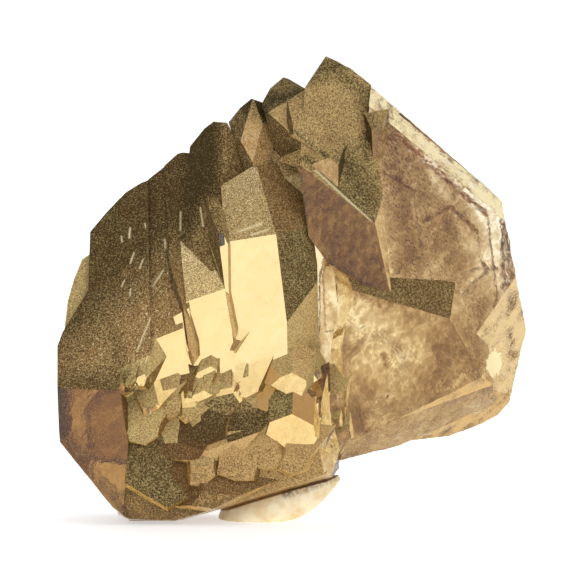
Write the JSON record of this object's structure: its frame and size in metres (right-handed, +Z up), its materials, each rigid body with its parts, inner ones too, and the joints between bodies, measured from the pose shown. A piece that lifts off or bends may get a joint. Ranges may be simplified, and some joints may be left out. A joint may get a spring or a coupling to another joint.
{
  "type": "gwindel smoky quartz",
  "caption": "Smoky quartz gwindel: a flat, twisted stack of intergrown crystals with a saw-tooth ridge, clear stepped faces and chlorite dust, standing on its broken edge and a pinch of putty.",
  "frame": {"origin": "middle of the footprint of the whole specimen, on the surface that it stands on", "axes": "+Z up, -Y out of the broad side with the stepped clear faces, +X towards the thin pale edge, along the width"},
  "size_m": [0.0658, 0.0216, 0.0648],
  "materials": {
    "smoky_quartz": "clear to smoky brown crystal, glassy on the prism faces, dusted with dark green-brown chlorite on the rhombohedral faces",
    "putty": "dull, soft, slightly soiled"
  },
  "bodies": {
    "root": {"gwindel_crystal": "smoky_quartz", "putty_rest": "putty"}
  },
  "joints": []
}
